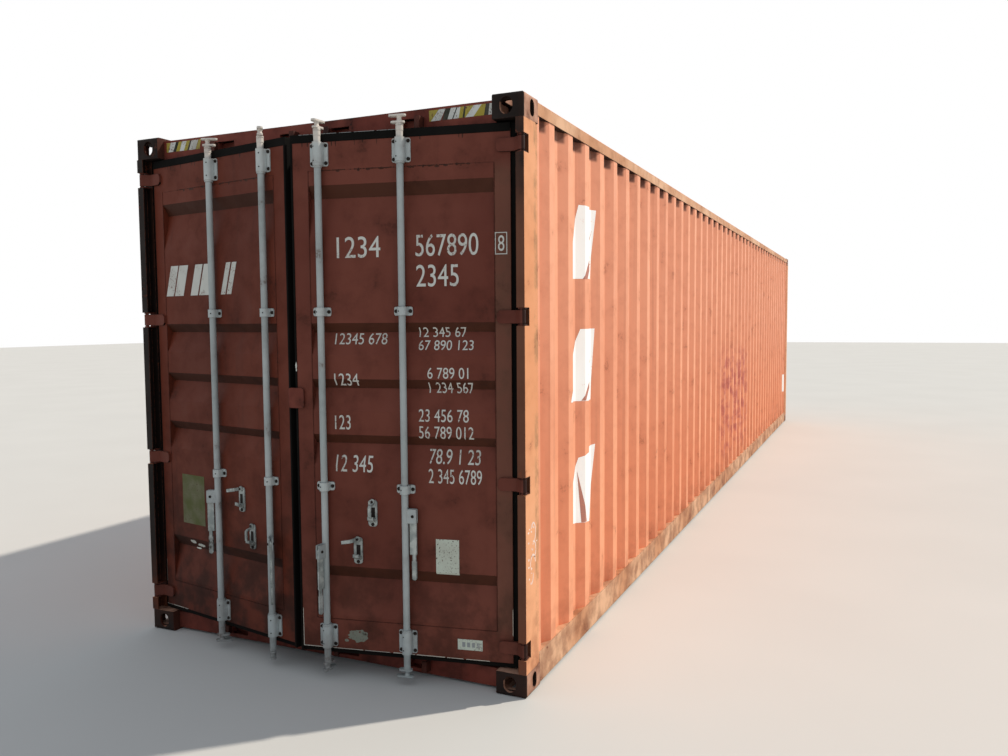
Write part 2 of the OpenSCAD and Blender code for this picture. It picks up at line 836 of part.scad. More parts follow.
outer_catch = outer_bar + outer_catch_reach;
inner_catch = inner_bar - inner_catch_reach;
catch_plate = 6;
catch_face = leaf_face - catch_plate;
hasp_rise = 60;
hasp_pin = 5;
hasp_thickness = 5;
hasp_eye = 14;
hasp_front = 2;
eye_front = catch_face - hasp_thickness - 2;

module catch_seat() {
    corner = 16;
    hook = 4;
    hook_front = hasp_front + hasp_thickness + running_gap;
    hook_top = -12;
    rest = -handle_width / 2 - running_gap;
    foot = -46;
    head = 4;
    seat_width = catch_width - corner;
    rivet_start = eye_front - 2 - head;
    translate([catch_face, -catch_width / 2, -catch_height / 2])
        rounded_plate(catch_width, catch_height, catch_plate, corner);
    translate([0, seat_width / 2, 0]) rotate([90, 0, 0]) linear_extrude(seat_width)
        polygon([[catch_face + cut, rest], [hook_front + hook, rest], [hook_front + hook, hook_top],
            [hook_front, hook_top], [hook_front, rest - hook], [catch_face + cut, foot]]);
    translate([rivet_start, 0, hasp_rise]) rotate([0, 90, 0]) {
        cylinder(r = hasp_pin + 2, h = head);
        cylinder(r = hasp_pin, h = catch_face + cut - rivet_start);
    }
}

module handle_catches(left) {
    color(bar_grey) door_leaf(left) {
        translate([0, outer_catch, outer_handle_height]) catch_seat();
        translate([0, inner_catch, inner_handle_height]) catch_seat();
    }
}

module right_handle_catches() { handle_catches(0); }
module left_handle_catches() { handle_catches(1); }

// Hasps: bent straps that turn on the rivets to hang in front of the handles

module hasp(left, u, handle_height, swing) {
    arm = 18;
    hang = 74;
    back = eye_front + hasp_thickness;
    front = hasp_front + hasp_thickness;
    color(bar_grey) door_leaf(left)
        translate([0, u, handle_height + hasp_rise]) rotate([swing, 0, 0]) {
            translate([eye_front, 0, 0]) rotate([0, 90, 0]) difference() {
                cylinder(r = hasp_eye, h = hasp_thickness);
                translate([0, 0, -cut])
                    cylinder(r = hasp_pin + bearing_clearance, h = hasp_thickness + 2 * cut);
            }
            translate([0, arm / 2, 0]) rotate([90, 0, 0]) linear_extrude(arm)
                polygon([[back, -8], [eye_front, -8], [front + 5, -13], [hasp_front, -24], [hasp_front, -hang],
                    [front, -hang], [front, -26], [front + 8, -20], [back, -13]]);
        }
}

module right_outer_hasp() { hasp(0, outer_catch, outer_handle_height, right_outer_hasp_turn); }
module right_inner_hasp() { hasp(0, inner_catch, inner_handle_height, right_inner_hasp_turn); }
module left_outer_hasp() { hasp(1, outer_catch, outer_handle_height, left_outer_hasp_turn); }
module left_inner_hasp() { hasp(1, inner_catch, inner_handle_height, left_inner_hasp_turn); }

// Plate over the gap between the leaves, carried by the right leaf

module customs_plate() {
    thick = 6;
    spacer = 7;
    corner = 14;
    overhang = 45;
    color(door_red) door_leaf(0)
        translate([leaf_face, leaf_lock_edge + overhang - customs_plate_width, customs_plate_bottom]) {
            translate([-spacer - thick, 0, 0])
                rounded_plate(customs_plate_width, customs_plate_height, thick, corner);
            translate([-spacer, 0, corner])
                cube([spacer, customs_plate_width - overhang - gasket_lock_lip - cut,
                    customs_plate_height - 2 * corner]);
        }
}

// Locking bars: a round bar with a spool-shaped cam at each end and two ears for the handle

module cam() {
    waist = 11;
    flare = 8;
    web = cam_height - 2 * cam_flange;
    inner_share = 0.8;
    translate([0, (cam_back - cam_reach) / 2, 0]) rotate([0, 0, 90])
        slot(cam_reach + cam_back, 2 * cam_half_width, cam_flange);
    translate([0, inner_share * (cam_back - cam_reach) / 2, cam_flange + web]) rotate([0, 0, 90])
        slot(inner_share * (cam_reach + cam_back), 2 * cam_half_width, cam_flange);
    translate([0, 0, cam_flange]) cylinder(r = waist, h = web);
    translate([0, 0, cam_flange]) cylinder(r1 = cam_half_width, r2 = waist, h = flare);
    translate([0, 0, cam_flange + web - flare]) cylinder(r1 = waist, r2 = cam_half_width, h = flare);
}

module locking_bar(left, u, turn, handle_height) {
    low = bottom_cam_height;
    high = height - top_cam_drop;
    ear = 6;
    ear_height = 72;
    ear_start = 6;
    ear_corner = 6;
    slack = 0.5;
    grip = handle_thickness / 2 + slack;
    color(bar_grey) door_leaf(left) translate([bar_depth, u, 0]) rotate([0, 0, turn]) {
        translate([0, 0, low]) cam();
        translate([0, 0, high]) mirror([0, 0, 1]) cam();
        translate([0, 0, low + cam_height]) cylinder(r = bar_radius, h = high - low - 2 * cam_height);
        for (side = [0, 1])
            mirror([side, 0, 0]) translate([grip, ear_start, handle_height - ear_height / 2])
                rounded_plate(handle_offset + handle_width / 2 - ear_start, ear_height, ear, ear_corner);
        translate([-grip - ear / 2, handle_offset, handle_height])
            rotate([0, 90, 0]) cylinder(r = handle_pin, h = 2 * grip + ear);
    }
}

module right_outer_bar() { locking_bar(0, outer_bar, right_outer_turn, outer_handle_height); }
module right_inner_bar() { locking_bar(0, inner_bar, right_inner_turn, inner_handle_height); }
module left_outer_bar() { locking_bar(1, outer_bar, left_outer_turn, outer_handle_height); }
module left_inner_bar() { locking_bar(1, inner_bar, left_inner_turn, inner_handle_height); }

// Handles: flat bars that hang from the ears, with a narrow neck and a slimmer grip

module handle(left, u, turn, handle_height) {
    half = handle_width / 2 - 1;
    neck_start = 0.6 * handle_length;
    neck_end = 0.7 * handle_length;
    neck = 9;
    grip = 12;
    lean = 4;
    cheek = half - 1;
    color(bar_grey) door_leaf(left) translate([bar_depth, u, 0]) rotate([0, 0, turn])
        translate([-handle_thickness / 2, handle_offset, handle_height]) rotate([90, 0, 90])
            linear_extrude(handle_thickness) difference() {
                union() {
                    circle(half);
                    translate([-cheek, -neck_start]) square([2 * cheek, neck_start]);
                    translate([lean - neck, -neck_end - cut])
                        square([2 * neck, neck_end - neck_start + 2 * cut]);
                    translate([lean - grip, grip - handle_length])
                        square([2 * grip, handle_length - grip - neck_end]);
                    translate([lean, grip - handle_length]) circle(grip);
                }
                circle(handle_pin + bearing_clearance);
            }
}

module right_outer_handle() { handle(0, outer_bar, right_outer_turn, outer_handle_height); }
module right_inner_handle() { handle(0, inner_bar, right_inner_turn, inner_handle_height); }
module left_outer_handle() { handle(1, outer_bar, left_outer_turn, outer_handle_height); }
module left_inner_handle() { handle(1, inner_bar, left_inner_turn, inner_handle_height); }

top_corner_castings();
bottom_corner_castings();
rear_right_post();
rear_left_post();
front_right_post();
front_left_post();
door_header();
door_sill();
cam_keepers();
hinge_pins();
front_top_rail();
front_bottom_rail();
right_top_rail();
left_top_rail();
right_bottom_rail();
left_bottom_rail();
right_side_wall();
left_side_wall();
front_wall();
roof();
floor_boards();
cross_members();
gooseneck_tunnel();
right_door_frame();
right_door_panel();
right_door_gasket();
right_hinge_blades();
right_bar_brackets();
right_handle_catches();
customs_plate();
left_door_frame();
left_door_panel();
left_door_gasket();
left_hinge_blades();
left_bar_brackets();
left_handle_catches();
right_outer_bar();
right_inner_bar();
left_outer_bar();
left_inner_bar();
right_outer_handle();
right_inner_handle();
left_outer_handle();
left_inner_handle();
right_outer_hasp();
right_inner_hasp();
left_outer_hasp();
left_inner_hasp();
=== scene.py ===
import math
import random

import bmesh
import bpy
from mathutils import Matrix, Vector


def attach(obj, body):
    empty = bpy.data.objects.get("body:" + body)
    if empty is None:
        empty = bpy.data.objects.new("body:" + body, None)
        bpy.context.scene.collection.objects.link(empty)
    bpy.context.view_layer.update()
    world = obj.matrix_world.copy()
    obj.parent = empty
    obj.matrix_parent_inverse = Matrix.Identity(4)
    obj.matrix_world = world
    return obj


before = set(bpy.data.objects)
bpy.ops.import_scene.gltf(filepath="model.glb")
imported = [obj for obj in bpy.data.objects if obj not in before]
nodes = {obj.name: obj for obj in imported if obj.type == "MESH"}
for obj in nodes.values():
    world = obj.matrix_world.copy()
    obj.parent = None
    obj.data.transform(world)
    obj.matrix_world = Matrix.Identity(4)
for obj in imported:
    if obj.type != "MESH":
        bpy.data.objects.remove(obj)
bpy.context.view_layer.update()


# Camera
# It stands about three and a half metres from the doors and to their right, a little above eye height, and
# looks slightly down.

camera = bpy.data.objects.new("camera", bpy.data.cameras.new("camera"))
bpy.context.collection.objects.link(camera)
# Turned from the length of the container, tilted down and leaning a hair
yaw, pitch, roll = math.radians(24.19), math.radians(-3.908), -0.0068
ahead = Vector((math.cos(pitch) * math.cos(yaw), math.cos(pitch) * math.sin(yaw), math.sin(pitch)))
level = Vector((math.sin(yaw), -math.cos(yaw), 0))
above = level.cross(ahead)
right = level * math.cos(roll) + above * math.sin(roll)
up = above * math.cos(roll) - level * math.sin(roll)
camera.matrix_world = Matrix((right, up, -ahead)).transposed().to_4x4()
camera.location = (-9.7289, -2.7425, 1.833)
camera.data.lens = 29.87
camera.data.clip_end = 200
bpy.context.scene.camera = camera


# Light and floor
# One broad warm lamp, high up and behind the right side, lights that side and leaves the doors in even
# shade. The world is a pale dome all round, and the floor is matt pale board.

bpy.context.scene.view_settings.view_transform = "Standard"


def linear(code):
    """Linear colour from an sRGB hex code."""
    parts = [int(code[i:i + 2], 16) / 255 for i in (1, 3, 5)]
    return [c / 12.92 if c <= 0.04045 else ((c + 0.055) / 1.055) ** 2.4 for c in parts] + [1]


def add(tree, kind, settings=None, out=0, **inputs):
    """Adds a node, sets or links its inputs by name or by number, and gives back one of its outputs.

    A colour Mix takes its inputs 0, 6 and 7 and gives its output 2."""
    node = tree.nodes.new("ShaderNode" + kind)
    for key, value in (settings or {}).items():
        setattr(node, key, value)
    for key, value in inputs.items():
        socket = node.inputs[int(key[1:]) if key[1:].isdigit() else key.replace("_", " ")]
        if isinstance(value, bpy.types.NodeSocket):
            tree.links.new(value, socket)
        else:
            socket.default_value = linear(value) if isinstance(value, str) else value
    return node.outputs[out] if node.outputs else node


world = bpy.data.worlds.new("pale dome")
world.use_nodes = True
bpy.context.scene.world = world
tree = world.node_tree
tree.nodes.clear()
glow = add(tree, "Background", Color="#E3EAF2", Strength=0.62)
seen = add(tree, "Background", Color="#FFFFFF", Strength=1.0)
sight = add(tree, "LightPath", out="Is Camera Ray")
for ray in ("Is Glossy Ray", "Is Transmission Ray"):
    sight = add(tree, "Math", {"operation": "MAXIMUM"}, i0=sight, i1=add(tree, "LightPath", out=ray))
add(tree, "OutputWorld", Surface=add(tree, "MixShader", i0=sight, i1=glow, i2=seen))

lamp = bpy.data.objects.new("lamp", bpy.data.lights.new("lamp", "SUN"))
lamp.data.energy = 3.3
lamp.data.angle = math.radians(1.5)
lamp.data.color = linear("#FFF4E4")[:3]
lamp.rotation_euler = Vector((-0.497, 0.552, -0.669)).to_track_quat("-Z", "Y").to_euler()
bpy.context.collection.objects.link(lamp)

bm = bmesh.new()
bmesh.ops.create_grid(bm, x_segments=1, y_segments=1, size=60)
mesh = bpy.data.meshes.new("floor")
bm.to_mesh(mesh)
bm.free()
floor = bpy.data.objects.new("floor", mesh)
bpy.context.collection.objects.link(floor)
# Painted board: dead matt, with broad patches that hardly show.
board = bpy.data.materials.new("matt pale board")
board.use_nodes = True
tree = board.node_tree
tree.nodes.clear()
patchy = add(tree, "TexNoise", Vector=add(tree, "TexCoord", out="Object"), Scale=1000 / 1400)
shade = add(tree, "Mix", {"data_type": "RGBA"}, out=2, i0=patchy, i6="#CBCBC9", i7="#D3D3D1")
add(tree, "OutputMaterial", Surface=add(tree, "BsdfPrincipled", Base_Color=shade, Roughness=0.9,
                                        Specular_IOR_Level=0.1))
mesh.materials.append(board)


# Steelwork: posts, rails, walls, roof and cross members
# Weathering steel, pressed or rolled, welded together and sprayed with oxide red paint. Years in the sun
# have bleached the outside to salmon, palest near the roof. Faces that look away from the lamp, inward or
# down are darker with painted shade.

SMOOTH = {"interpolation_type": "SMOOTHSTEP"}
COLOURS = {"data_type": "RGBA"}
DARKEN = {"data_type": "RGBA", "blend_type": "MULTIPLY"}
PRODUCT = {"operation": "MULTIPLY"}
REAR, INWARD, OUTWARD, DOWN = 0, 1, -1, 2


def weathered(name, fresh, faded, rust, patches=1200, mottle=0.3, runs=0.2, spots=0.4, grit=16,
              edges=0.0, painted_shades=None, levels=(), stains=(), low_dirt_and_shade=(0.55, 0.3), rough=(0.5, 0.7),
              metallic=0.0, gloss=0.2):
    """Old paint or metal: two tones, painted shade, mottling, rain runs, rust spots, low darkening, worn
    edges.

    patches and grit are in mm; real grit is 1 or 2 mm wide, and is drawn as coarse as it needs to show.
    painted_shades gives the colour of painted shade on faces that look to the rear, inward, outward or
    down.
    levels are colours with the heights between which they set in and how much; low_dirt_and_shade is a
    height and an amount of darkening below it, which stands for dirt, and on the door leaves for painted
    shade; stains are colours with the least and most of them, their box and how softly it ends on each
    axis;
    heights and boxes are in metres."""
    material = bpy.data.materials.new(name)
    material.use_nodes = True
    tree = material.node_tree
    tree.nodes.clear()
    place = add(tree, "TexCoord", out="Object")
    height = add(tree, "SeparateXYZ", out="Z", Vector=place)
    broad = add(tree, "TexNoise", Vector=place, Scale=1000 / patches, Detail=3)
    blotch = add(tree, "TexNoise", Vector=place, Scale=1000 / 150, Detail=5, Roughness=0.6)
    sand = add(tree, "TexNoise", Vector=place, Scale=1000 / grit, Detail=3, Roughness=0.6)
    drawn = add(tree, "Mapping", Vector=place, Scale=(1, 1, 0.03))
    streak = add(tree, "TexNoise", Vector=drawn, Scale=1000 / 75, Detail=3)

    # Two tones in broad patches, painted shade by the way faces look, bands of height, and stains in their
    # boxes
    tone = add(tree, "MapRange", SMOOTH, Value=broad, From_Min=0.36, From_Max=0.64)
    colour = add(tree, "Mix", COLOURS, out=2, i0=tone, i6=fresh, i7=faded)
    for way, code in (painted_shades or {}).items():
        facing = add(tree, "SeparateXYZ", out=abs(way), Vector=add(tree, "TexCoord", out="Normal"))
        if way in (INWARD, OUTWARD):
            across = add(tree, "SeparateXYZ", out="Y", Vector=place)
            facing = add(tree, "Math", PRODUCT, i0=facing, i1=across)
            facing = add(tree, "Math", PRODUCT, i0=facing, i1=float(way))
        amount = add(tree, "MapRange", SMOOTH, Value=facing, From_Min=-0.25, From_Max=-0.45)
        colour = add(tree, "Mix", COLOURS, out=2, i0=amount, i6=colour, i7=code)
    for code, start, end, amount in levels:
        amount = add(tree, "MapRange", SMOOTH, Value=height, From_Min=start, From_Max=end, To_Max=amount)
        colour = add(tree, "Mix", COLOURS, out=2, i0=amount, i6=colour, i7=code)
    for code, least, most, start, end, soft in stains:
        inside = add(tree, "MapRange", SMOOTH, Value=blotch, From_Min=0.42, From_Max=0.62, To_Min=least,
                     To_Max=most)
        for axis in range(3):
            along = add(tree, "SeparateXYZ", out=axis, Vector=place)
            for edge, step in ((start[axis], soft[axis]), (end[axis], -soft[axis])):
                within = add(tree, "MapRange", SMOOTH, Value=along, From_Min=edge, From_Max=edge + step)
                inside = add(tree, "Math", PRODUCT, i0=inside, i1=within)
        colour = add(tree, "Mix", COLOURS, out=2, i0=inside, i6=colour, i7=code)

    # Mottling, rain runs, darkening low down (dirt, and painted shade on the door leaves), and spots of
    # rust
    dull = add(tree, "MapRange", SMOOTH, Value=blotch, From_Min=0.42, From_Max=0.75, To_Max=mottle)
    colour = add(tree, "Mix", DARKEN, out=2, i0=dull, i6=colour, i7=rust)
    run = add(tree, "MapRange", SMOOTH, Value=streak, From_Min=0.55, From_Max=0.80, To_Max=runs)
    colour = add(tree, "Mix", COLOURS, out=2, i0=run, i6=colour, i7=rust)
    lowness = add(tree, "MapRange", SMOOTH, Value=height, From_Min=low_dirt_and_shade[0], From_Max=0.05, To_Max=low_dirt_and_shade[1])
    uneven = add(tree, "MapRange", SMOOTH, Value=blotch, From_Min=0.34, From_Max=0.60)
    low_dirt_and_shade_amount = add(tree, "Math", PRODUCT, i0=lowness, i1=uneven)
    colour = add(tree, "Mix", COLOURS, out=2, i0=low_dirt_and_shade_amount, i6=colour, i7=rust)
    area = add(tree, "MapRange", SMOOTH, Value=blotch, From_Min=0.62, From_Max=0.68, To_Max=spots)
    grain = add(tree, "MapRange", SMOOTH, Value=sand, From_Min=0.42, From_Max=0.58)
    rusty = add(tree, "Math", PRODUCT, i0=area, i1=grain)
    colour = add(tree, "Mix", COLOURS, out=2, i0=rusty, i6=colour, i7=rust)

    # Edges rubbed down to rust where the surface bends over 5 mm
    normal = {}
    if edges:
        rounded = add(tree, "Bevel", {"samples": 3}, Radius=0.005)
        flat = add(tree, "NewGeometry", out="Normal")
        same = add(tree, "VectorMath", {"operation": "DOT_PRODUCT"}, out="Value", i0=rounded, i1=flat)
        rubbed = add(tree, "MapRange", SMOOTH, Value=same, From_Min=0.985, From_Max=0.88, To_Max=edges)
        chipped = add(tree, "MapRange", SMOOTH, Value=sand, From_Min=0.38, From_Max=0.55)
        worn = add(tree, "Math", PRODUCT, i0=rubbed, i1=chipped)
        colour = add(tree, "Mix", COLOURS, out=2, i0=worn, i6=colour, i7=rust)
        normal = {"Normal": rounded}

    matt = add(tree, "MapRange", Value=blotch, From_Min=0.3, From_Max=0.7, To_Min=rough[0], To_Max=rough[1])
    relief = add(tree, "Bump", Strength=0.15, Distance=0.001, Height=sand, **normal)
    relief = add(tree, "Bump", Strength=0.22, Distance=0.006, Height=blotch, Normal=relief)
    add(tree, "OutputMaterial", Surface=add(tree, "BsdfPrincipled", Base_Color=colour, Roughness=matt,
                                            Normal=relief, Metallic=metallic, Specular_IOR_Level=gloss))
    return material


def dress(material, *names):
    """Gives CAD nodes a material."""
    for name in names:
        nodes[name].data.materials.clear()
        nodes[name].data.materials.append(material)


# Chalky and matt: broad paler patches, soft mottling, thin rain runs. The slopes that look away from the
# lamp carry a stronger red as painted shade, and faces that look inward or down a dark painted shade.
sheet = dict(patches=1200, mottle=0.16, runs=0.22, spots=0.35, low_dirt_and_shade=(0.5, 0.35),
             painted_shades={REAR: "#E48E69", INWARD: "#7E4433", DOWN: "#7E4433"},
             levels=(("#F3B69B", 0.3, 2.2, 0.35),))
plain_sheet = weathered("bleached oxide red paint on pressed sheet", "#E08F69", "#EEA47E", "#8C4E36",
                        **sheet)
dress(plain_sheet, "left_side_wall", "front_wall", "roof", "cross_members", "gooseneck_tunnel")
# The right wall also has a faint violet stain halfway along, and a painted rail shadow in the hollows under
# it.
violet = ("#B4565C", 0, 0.6, (-0.9, -2, 0.2), (1.5, 0, 1.6), (0.5, 0.1, 0.3))
painted_rail_shadow = ("#4A261E", 0.75, 0.9, (-6.2, -1.204, 2.755), (6.2, 0, 3), (0.01, 0.012, 0.02))
stained_sheet = weathered("bleached oxide red paint with a violet stain", "#E08F69", "#EEA47E", "#8C4E36",
                          stains=(violet, painted_rail_shadow), **sheet)
dress(stained_sheet, "right_side_wall")
# Thicker plate keeps more of its colour and rusts along the edges. Its faces beside the doors carry painted
# shade, dark brown on the right post and nearly black on the left and at the top of the right one; faces
# that look inward or down are nearly black with painted shade.
painted_top_shade = ("#140C0A", 0.75, 0.95, (-6.2, -2, 2.25), (-6.0945, 0, 3), (0.001, 0.1, 0.3))
drips = ("#B08660", 0, 0.8, (-5.985, -1.3, 0.2), (-5.9, 0, 3), (0.02, 0.1, 0.3))
for hand, code in (("right", "#66402F"), ("left", "#150D0A")):
    post_paint = weathered(f"bleached oxide red paint on the {hand} rear post", "#DA9569", "#E4A67C",
                           "#7A4028", mottle=0.2, runs=0.3, spots=0.6, edges=0.75, low_dirt_and_shade=(0.55, 0.5),
                           stains=(painted_top_shade, drips),
                           painted_shades={REAR: code, INWARD: "#1A100D", DOWN: "#1A100D"})
    dress(post_paint, f"rear_{hand}_post")
# The front posts have no painted shade: pale, chipped along the edges.
front_paint = weathered("bleached oxide red paint on bent plate", "#DA9569", "#E4A67C", "#7A4028",
                        mottle=0.2, runs=0.3, spots=0.6, edges=0.75, low_dirt_and_shade=(0.55, 0.5))
dress(front_paint, "front_right_post", "front_left_post")
# Rails are knocked by other boxes, so their paint is browner and chipped along the edges.
# Their undersides are nearly black with painted shade, and their inner faces dark with it.
rail_paint = weathered("chipped oxide red paint on rails", "#C38E69", "#D9AE8C", "#6E3B24", patches=500,
                       mottle=0.35, runs=0.3, spots=1.0, edges=0.9, low_dirt_and_shade=(0.4, 0.5),
                       painted_shades={INWARD: "#7E4433", DOWN: "#21130E"})
dress(rail_paint, "front_top_rail", "front_bottom_rail", "right_top_rail", "left_top_rail",
      "right_bottom_rail", "left_bottom_rail")


def rear(left):
    """From depth in, distance from the side face and height, in mm, to metres in the shared frame."""
    place = Matrix.Translation((-6.096, -1.219, 0)) @ Matrix.Scale(0.001, 4)
    return Matrix.Scale(-1, 4, (0, 1, 0)) @ place if left else place


def piece(name, body, place, material, make, smooth=False):
    """A mesh that make draws in mm in a local frame, set in its place and carried by a body."""
    bm = bmesh.new()
    make(bm)
    bm.transform(place)
    bmesh.ops.recalc_face_normals(bm, faces=bm.faces[:])
    mesh = bpy.data.meshes.new(name)
    bm.to_mesh(mesh)
    bm.free()
    if smooth:
        mesh.shade_smooth()
    mesh.materials.append(material)
    thing = bpy.data.objects.new(name, mesh)
    bpy.context.collection.objects.link(thing)
    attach(thing, body)


# Marks on the right side
# Three tall slanted blocks of white paint, each split by a slit, and a small white panel at the far end,
# sprayed straight over the corrugations. Pale scrapes show where something rubbed along the rear post.

def sprayed(name, code, under, wear=0.5, dull=0.3, grit=11, metallic=0.0, rough=(0.5, 0.7)):
    """Thin paint or film on paint: dulled in patches, and chipped through in flakes of about grit mm."""
    material = bpy.data.materials.new(name)
    material.use_nodes = True
    tree = material.node_tree
    tree.nodes.clear()
    place = add(tree, "TexCoord", out="Object")
    flake = add(tree, "TexNoise", Vector=place, Scale=1000 / grit, Detail=4, Roughness=0.65)
    blotch = add(tree, "TexNoise", Vector=place, Scale=1000 / 110, Detail=4)
    tired = add(tree, "MapRange", SMOOTH, Value=blotch, From_Min=0.35, From_Max=0.7, To_Max=dull)
    colour = add(tree, "Mix", COLOURS, out=2, i0=tired, i6=code, i7="#9C948A")
    loose = add(tree, "MapRange", SMOOTH, Value=flake, From_Min=0.58, From_Max=0.63)
    area = add(tree, "MapRange", SMOOTH, Value=blotch, From_Min=0.60 - 0.25 * wear,
               From_Max=0.70 - 0.25 * wear)
    chips = add(tree, "Math", PRODUCT, i0=loose, i1=area)
    colour = add(tree, "Mix", COLOURS, out=2, i0=chips, i6=colour, i7=under)
    matt = add(tree, "MapRange", Value=blotch, From_Min=0.3, From_Max=0.7, To_Min=rough[0], To_Max=rough[1])
    add(tree, "OutputMaterial", Surface=add(tree, "BsdfPrincipled", Base_Color=colour, Roughness=matt,
                                            Metallic=metallic, Specular_IOR_Level=0.2))
    return material


def lay(bm, shapes, folds, spot):
    """Flat shapes of (along, up) points, cut along the folds of a surface and laid on it by spot."""
    for shape in shapes:
        bm.faces.new([bm.verts.new((a, z, 0)) for a, z in shape])
    for axis, value in folds:
        normal = Vector((1, 0, 0)) if axis == 0 else Vector((0, 1, 0))
        bmesh.ops.bisect_plane(bm, geom=bm.verts[:] + bm.edges[:] + bm.faces[:],
                               plane_co=normal * value, plane_no=normal)
    for v in bm.verts:
        v.co = spot(v.co.x, v.co.y)


def oblong(left, low, right, high):
    """The corners of an upright rectangle."""
    return [(left, low), (right, low), (right, high), (left, high)]


# The wall's waves, as pressed
wave_length, wave_flat, wave_slope, wave_depth, waves = 278.5, 72, 68, 36, 42
first_wave, wall_inset = 350.75, 8
# How far paint and film stand off what they lie on
film_gap, slit_gap = 0.8, 1.3


def on_wall(along, z, gap=film_gap):
    """A point just off the outside of the corrugated wall."""
    t = (along - first_wave) % wave_length
    if t < wave_flat:
        share = 0
    elif t < wave_flat + wave_slope:
        share = (t - wave_flat) / wave_slope
    elif t < wave_length - wave_slope:
        share = 1
    else:
        share = (wave_length - t) / wave_slope
    return Vector((along, wall_inset - gap + wave_depth * share, z))


# Brush-thick white enamel: nearly clean, with a few flakes gone. It is the lit copy of the white enamel,
# pure white with painted light.
sun_white = sprayed("white enamel in the sun", "#FFFFFD", "#DC8C69", wear=0.1, dull=0.03)
wall_folds = [(0, first_wave + wave_length * i + t) for i in range(waves)
              for t in (0, wave_flat, wave_flat + wave_slope, wave_length - wave_slope)]
blocks = [[(740, 2062), (1100, 2075), (1156, 2480), (862, 2478)],
          [(667, 1385), (1110, 1362), (1145, 1784), (874, 1784)],
          [(700, 690), (1091, 648), (1150, 1092), (860, 1050)],
          oblong(11640, 560, 12000, 860)]
slits = [[(1126, 2360), (890, 2066), (950, 2068)], [(1110, 1610), (880, 1376), (925, 1374)],
         [(850, 975), (880, 672), (935, 668)]]
piece("side_wall_marks", "container", rear(0), sun_white,
      lambda bm: lay(bm, blocks, wall_folds, on_wall))
# The wall paint left bare in the slits, dulled in patches and darker than the wall round them: painted
# shade.
slit_paint = sprayed("oxide red paint with painted shade in the slits", "#B8796A", "#DC8C69")
piece("side_wall_slits", "container", rear(0), slit_paint,
      lambda bm: lay(bm, slits, wall_folds, lambda along, z: on_wall(along, z, slit_gap)))

dice = random.Random(7)


def patch(middle, size, points=26, wobble=0.35):
    """A ragged patch round a middle."""
    turns = [2 * math.pi * i / points for i in range(points)]
    return [(middle[0] + size[0] * math.cos(t) * dice.uniform(1 - wobble, 1),
             middle[1] + size[1] * math.sin(t) * dice.uniform(1 - wobble, 1)) for t in turns]


def stroke(middle, radius, start, sweep, width, count=8, tall=1.6):
    """A curved scrape round a middle, taller than it is wide, as a row of short pieces."""
    turns = [start + sweep * i / count for i in range(count + 1)]
    rings = [[(middle[0] + r * math.cos(t), middle[1] + tall * r * math.sin(t))
              for r in (radius, radius - width)] for t in turns]
    return [[a[0], b[0], b[1], a[1]] for a, b in zip(rings, rings[1:])]


# Rubbed paint: chalky lilac smears with the salmon showing through. They have next to no thickness,
# because the post's side is the outside of the whole container.
scraped = sprayed("scraped paint on plate", "#EED9D0", "#D98E6C", wear=0.9, grit=14)
scrape_skin, scrape_width = 0.04, 7
scrapes = [patch((dice.uniform(30, 150), dice.uniform(560, 860)), (dice.uniform(4, 12), dice.uniform(3, 8)))
           for _ in range(16)]
for middle, radius, start, sweep in (((95, 800), 34, 2.6, -3.6), ((100, 715), 30, 1.9, -3.2),
                                     ((90, 640), 36, 0.2, 3.0), ((70, 590), 26, 4.2, 2.4)):
    scrapes += stroke(middle, radius, start, sweep, scrape_width)
piece("rear_post_scrapes", "container", rear(0), scraped,
      lambda bm: lay(bm, scrapes, [], lambda along, z: Vector((along, -scrape_skin, z))))


# Corner castings
# Hollow blocks of cast steel, sand-rough and welded to the posts. The faces in the sun are pale and dusty;
# those over the doors and underneath are almost black with painted shade over the rust, and the inner faces
# are dark brown with it.

# Rough cast skin: pale worn paint in small patches over dark rust, with black-brown painted shade.
cast_steel = weathered("sand-cast steel with worn paint", "#A0735E", "#C0957F", "#4A2A20", patches=90,
                       mottle=0.4, runs=0.3, spots=1.0, grit=8, edges=0.9, rough=(0.6, 0.85),
                       painted_shades={REAR: "#170E0B", INWARD: "#4A261C", DOWN: "#170E0B"})
dress(cast_steel, "top_corner_castings", "bottom_corner_castings")


# Header, sill and cam keepers
# Welded beams above and below the doors, with keeper plates beside the cam pockets, in maroon paint. A band
# of white, olive and black slanted stripes is sprayed on both ends of the header.

# Maroon paint with broad brown rust stains that run down from the pockets; near-black painted shade
# underneath.
header_paint = weathered("rust-stained maroon paint", "#723328", "#7C3E32", "#22110C", patches=260,
                         mottle=0.6, runs=0.6, spots=1.0, edges=0.8, painted_shades={DOWN: "#1C100C"})
dress(header_paint, "door_header", "door_sill")
# The keepers are rusted, and browner and darker than the header with painted shade.
keeper_paint = weathered("rusted maroon paint with painted shade", "#42201A", "#54291F", "#1E0F0B", patches=120,
                         mottle=0.6, runs=0.5, spots=1.0, edges=0.8)
dress(keeper_paint, "cam_keepers")
# Thin sprayed enamels, dulled and chipped, with the maroon coat showing through the chips.
shade_maroon = "#5E3026"
# The white here is the shaded copy of the white enamel: greyer with painted shade.
enamels = {"white": sprayed("white enamel in the shade", "#CFD2CE", shade_maroon, wear=0.9, dull=0.5),
           "black": sprayed("black-green enamel", "#1C2117", shade_maroon, wear=0.6),
           "olive": sprayed("olive yellow enamel", "#A3943A", shade_maroon, wear=0.9, dull=0.2)}


def on_face(depth):
    """Places points on a flat face that looks to the rear, at a depth."""
    return lambda along, z: Vector((depth, along, z))


header_front = 50
stripe_low, stripe_high = 2815, 2868
